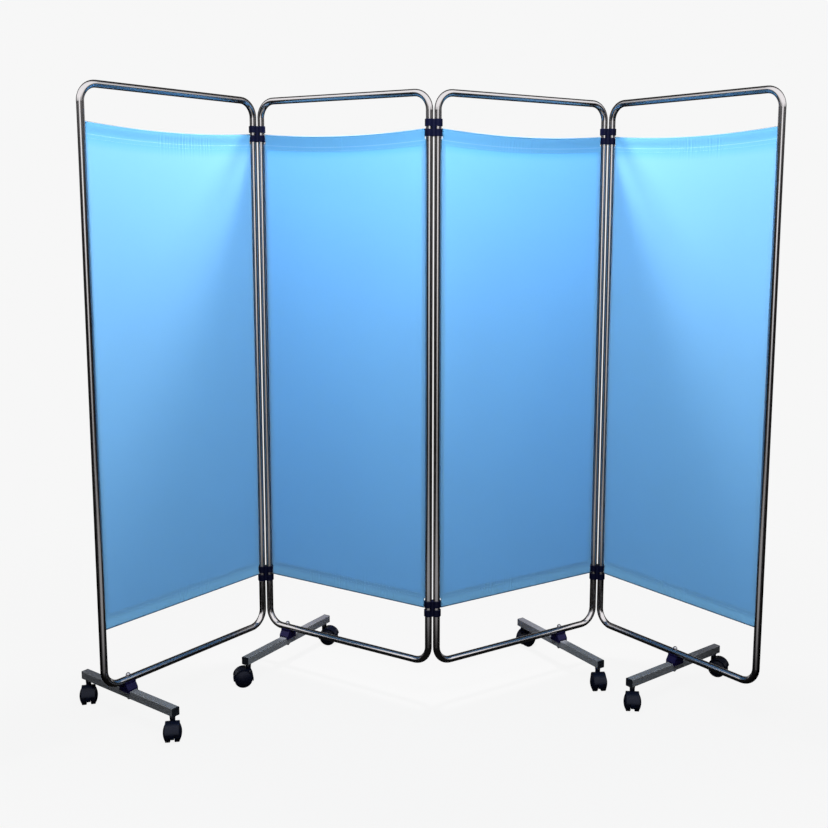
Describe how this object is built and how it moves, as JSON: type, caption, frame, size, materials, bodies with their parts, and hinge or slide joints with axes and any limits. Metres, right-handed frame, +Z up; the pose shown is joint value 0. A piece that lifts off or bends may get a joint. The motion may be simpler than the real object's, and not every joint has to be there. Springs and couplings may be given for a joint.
{
  "type": "hospital privacy screen",
  "caption": "Folding ward screen: bent tube frames with hemmed blue cloth, joined by snap clips, on foot bars with twin-wheel swivel casters.",
  "frame": {"origin": "on the floor, under the middle of the whole screen's box as it stands", "axes": "+X along the screen from the left panel to the right one, +Y away from the viewer, +Z up"},
  "size_m": [1.8316, 0.6842, 1.653],
  "materials": {
    "frame_tube": "bright stainless tube, fine drawn grain",
    "screen_cloth": "plain woven polyester, soft sheen, a little light comes through",
    "wire": "drawn spring wire",
    "clip_plastic": "moulded, satin",
    "saddle_plastic": "moulded, fine texture",
    "bar_paint": "dark grey powder coat, semi-gloss",
    "plug_plastic": "moulded, satin",
    "fastener": "bright plated",
    "stem": "zinc plated, dull",
    "hood_plastic": "moulded, semi-gloss",
    "wheel_plastic": "moulded nylon, matt tread"
  },
  "bodies": {
    "panel_1": {"panel_1_frame": "frame_tube", "panel_1_cloth": "screen_cloth", "panel_1_wires": "wire", "panel_1_saddle": "saddle_plastic", "panel_1_foot_bar": "bar_paint", "panel_1_end_plugs": "plug_plastic", "panel_1_foot_bolt": "fastener", "panel_1_caster_stems": "stem"},
    "panel_2": {"panel_2_frame": "frame_tube", "panel_2_cloth": "screen_cloth", "panel_2_wires": "wire", "panel_2_saddle": "saddle_plastic", "panel_2_foot_bar": "bar_paint", "panel_2_end_plugs": "plug_plastic", "panel_2_foot_bolt": "fastener", "panel_2_caster_stems": "stem"},
    "panel_3": {"panel_3_frame": "frame_tube", "panel_3_cloth": "screen_cloth", "panel_3_wires": "wire", "panel_3_saddle": "saddle_plastic", "panel_3_foot_bar": "bar_paint", "panel_3_end_plugs": "plug_plastic", "panel_3_foot_bolt": "fastener", "panel_3_caster_stems": "stem"},
    "panel_4": {"panel_4_frame": "frame_tube", "panel_4_cloth": "screen_cloth", "panel_4_wires": "wire", "panel_4_saddle": "saddle_plastic", "panel_4_foot_bar": "bar_paint", "panel_4_end_plugs": "plug_plastic", "panel_4_foot_bolt": "fastener", "panel_4_caster_stems": "stem"},
    "clip_12": {"clips_12": "clip_plastic"},
    "clip_23": {"clips_23": "clip_plastic"},
    "clip_34": {"clips_34": "clip_plastic"},
    "caster_1_far": {"caster_1_far_body": "hood_plastic"},
    "caster_1_far_wheel_a": {"caster_1_far_wheel_a": "wheel_plastic"},
    "caster_1_far_wheel_b": {"caster_1_far_wheel_b": "wheel_plastic"},
    "caster_1_near": {"caster_1_near_body": "hood_plastic"},
    "caster_1_near_wheel_a": {"caster_1_near_wheel_a": "wheel_plastic"},
    "caster_1_near_wheel_b": {"caster_1_near_wheel_b": "wheel_plastic"},
    "caster_2_far": {"caster_2_far_body": "hood_plastic"},
    "caster_2_far_wheel_a": {"caster_2_far_wheel_a": "wheel_plastic"},
    "caster_2_far_wheel_b": {"caster_2_far_wheel_b": "wheel_plastic"},
    "caster_2_near": {"caster_2_near_body": "hood_plastic"},
    "caster_2_near_wheel_a": {"caster_2_near_wheel_a": "wheel_plastic"},
    "caster_2_near_wheel_b": {"caster_2_near_wheel_b": "wheel_plastic"},
    "caster_3_far": {"caster_3_far_body": "hood_plastic"},
    "caster_3_far_wheel_a": {"caster_3_far_wheel_a": "wheel_plastic"},
    "caster_3_far_wheel_b": {"caster_3_far_wheel_b": "wheel_plastic"},
    "caster_3_near": {"caster_3_near_body": "hood_plastic"},
    "caster_3_near_wheel_a": {"caster_3_near_wheel_a": "wheel_plastic"},
    "caster_3_near_wheel_b": {"caster_3_near_wheel_b": "wheel_plastic"},
    "caster_4_far": {"caster_4_far_body": "hood_plastic"},
    "caster_4_far_wheel_a": {"caster_4_far_wheel_a": "wheel_plastic"},
    "caster_4_far_wheel_b": {"caster_4_far_wheel_b": "wheel_plastic"},
    "caster_4_near": {"caster_4_near_body": "hood_plastic"},
    "caster_4_near_wheel_a": {"caster_4_near_wheel_a": "wheel_plastic"},
    "caster_4_near_wheel_b": {"caster_4_near_wheel_b": "wheel_plastic"}
  },
  "joints": [
    {"name": "clip_12_on_panel_2", "type": "hinge", "parent": "panel_2", "child": "clip_12", "pos_m": [-0.44218, 0.20353, 0.8785], "axis": [0, 0, -1], "range_deg": [-47.75, 132.25]},
    {"name": "panel_1_in_clip_12", "type": "hinge", "parent": "clip_12", "child": "panel_1", "pos_m": [-0.46376, 0.19924, 0.8785], "axis": [0, 0, -1], "range_deg": [-47.75, 132.25]},
    {"name": "clip_23_on_panel_2", "type": "hinge", "parent": "panel_2", "child": "clip_23", "pos_m": [0.03783, -0.08489, 0.8785], "axis": [0, 0, -1], "range_deg": [-57.5, 121.5]},
    {"name": "panel_3_in_clip_23", "type": "hinge", "parent": "clip_23", "child": "panel_3", "pos_m": [0.05983, -0.08451, 0.8785], "axis": [0, 0, -1], "range_deg": [-57.5, 121.5]},
    {"name": "clip_34_on_panel_3", "type": "hinge", "parent": "panel_3", "child": "clip_34", "pos_m": [0.52948, 0.22049, 0.8785], "axis": [0, 0, 1], "range_deg": [-47.75, 132.25]},
    {"name": "panel_4_in_clip_34", "type": "hinge", "parent": "clip_34", "child": "panel_4", "pos_m": [0.5512, 0.21695, 0.8785], "axis": [0, 0, 1], "range_deg": [-47.75, 132.25]},
    {"name": "caster_1_far_swivel", "type": "hinge", "parent": "panel_1", "child": "caster_1_far", "pos_m": [-0.89504, -0.08771, 0.058], "axis": [0, 0, 1], "continuous": true},
    {"name": "caster_1_far_wheel_a_spin", "type": "hinge", "parent": "caster_1_far", "child": "caster_1_far_wheel_a", "pos_m": [-0.89115, -0.1022, 0.025], "axis": [0.9659, 0.2588, 0], "continuous": true},
    {"name": "caster_1_far_wheel_b_spin", "type": "hinge", "parent": "caster_1_far", "child": "caster_1_far_wheel_b", "pos_m": [-0.89115, -0.1022, 0.025], "axis": [0.9659, 0.2588, 0], "continuous": true},
    {"name": "caster_1_near_swivel", "type": "hinge", "parent": "panel_1", "child": "caster_1_near", "pos_m": [-0.61208, -0.29709, 0.058], "axis": [0, 0, 1], "continuous": true},
    {"name": "caster_1_near_wheel_a_spin", "type": "hinge", "parent": "caster_1_near", "child": "caster_1_near_wheel_a", "pos_m": [-0.60947, -0.31186, 0.025], "axis": [0.9848, 0.1736, 0], "continuous": true},
    {"name": "caster_1_near_wheel_b_spin", "type": "hinge", "parent": "caster_1_near", "child": "caster_1_near_wheel_b", "pos_m": [-0.60947, -0.31186, 0.025], "axis": [0.9848, 0.1736, 0], "continuous": true},
    {"name": "caster_2_far_swivel", "type": "hinge", "parent": "panel_2", "child": "caster_2_far", "pos_m": [-0.29489, 0.32036, 0.058], "axis": [0, 0, 1], "continuous": true},
    {"name": "caster_2_far_wheel_a_spin", "type": "hinge", "parent": "caster_2_far", "child": "caster_2_far_wheel_a", "pos_m": [-0.28012, 0.31775, 0.025], "axis": [0.1736, 0.9848, 0], "continuous": true},
    {"name": "caster_2_far_wheel_b_spin", "type": "hinge", "parent": "caster_2_far", "child": "caster_2_far_wheel_b", "pos_m": [-0.28012, 0.31775, 0.025], "axis": [0.1736, 0.9848, 0], "continuous": true},
    {"name": "caster_2_near_swivel", "type": "hinge", "parent": "panel_2", "child": "caster_2_near", "pos_m": [-0.47619, 0.01864, 0.058], "axis": [0, 0, 1], "continuous": true},
    {"name": "caster_2_near_wheel_a_spin", "type": "hinge", "parent": "caster_2_near", "child": "caster_2_near_wheel_a", "pos_m": [-0.49068, 0.01475, 0.025], "axis": [0.2588, -0.9659, 0], "continuous": true},
    {"name": "caster_2_near_wheel_b_spin", "type": "hinge", "parent": "caster_2_near", "child": "caster_2_near_wheel_b", "pos_m": [-0.49068, 0.01475, 0.025], "axis": [0.2588, -0.9659, 0], "continuous": true},
    {"name": "caster_3_far_swivel", "type": "hinge", "parent": "panel_3", "child": "caster_3_far", "pos_m": [0.32561, 0.29795, 0.058], "axis": [0, 0, 1], "continuous": true},
    {"name": "caster_3_far_wheel_a_spin", "type": "hinge", "parent": "caster_3_far", "child": "caster_3_far_wheel_a", "pos_m": [0.3371, 0.30759, 0.025], "axis": [-0.6428, 0.766, 0], "continuous": true},
    {"name": "caster_3_far_wheel_b_spin", "type": "hinge", "parent": "caster_3_far", "child": "caster_3_far_wheel_b", "pos_m": [0.3371, 0.30759, 0.025], "axis": [-0.6428, 0.766, 0], "continuous": true},
    {"name": "caster_3_near_swivel", "type": "hinge", "parent": "panel_3", "child": "caster_3_near", "pos_m": [0.51732, 0.00274, 0.058], "axis": [0, 0, 1], "continuous": true},
    {"name": "caster_3_near_wheel_a_spin", "type": "hinge", "parent": "caster_3_near", "child": "caster_3_near_wheel_a", "pos_m": [0.51863, -0.01221, 0.025], "axis": [0.9962, 0.0872, 0], "continuous": true},
    {"name": "caster_3_near_wheel_b_spin", "type": "hinge", "parent": "caster_3_near", "child": "caster_3_near_wheel_b", "pos_m": [0.51863, -0.01221, 0.025], "axis": [0.9962, 0.0872, 0], "continuous": true},
    {"name": "caster_4_far_swivel", "type": "hinge", "parent": "panel_4", "child": "caster_4_far", "pos_m": [0.87021, 0.09862, 0.058], "axis": [0, 0, 1], "continuous": true},
    {"name": "caster_4_far_wheel_a_spin", "type": "hinge", "parent": "caster_4_far", "child": "caster_4_far_wheel_a", "pos_m": [0.8832, 0.09112, 0.025], "axis": [0.5, 0.866, 0], "continuous": true},
    {"name": "caster_4_far_wheel_b_spin", "type": "hinge", "parent": "caster_4_far", "child": "caster_4_far_wheel_b", "pos_m": [0.8832, 0.09112, 0.025], "axis": [0.5, 0.866, 0], "continuous": true},
    {"name": "caster_4_near_swivel", "type": "hinge", "parent": "panel_4", "child": "caster_4_near", "pos_m": [0.59473, -0.1205, 0.058], "axis": [0, 0, 1], "continuous": true},
    {"name": "caster_4_near_wheel_a_spin", "type": "hinge", "parent": "caster_4_near", "child": "caster_4_near_wheel_a", "pos_m": [0.59343, -0.13545, 0.025], "axis": [0.9962, -0.0872, 0], "continuous": true},
    {"name": "caster_4_near_wheel_b_spin", "type": "hinge", "parent": "caster_4_near", "child": "caster_4_near_wheel_b", "pos_m": [0.59343, -0.13545, 0.025], "axis": [0.9962, -0.0872, 0], "continuous": true}
  ]
}
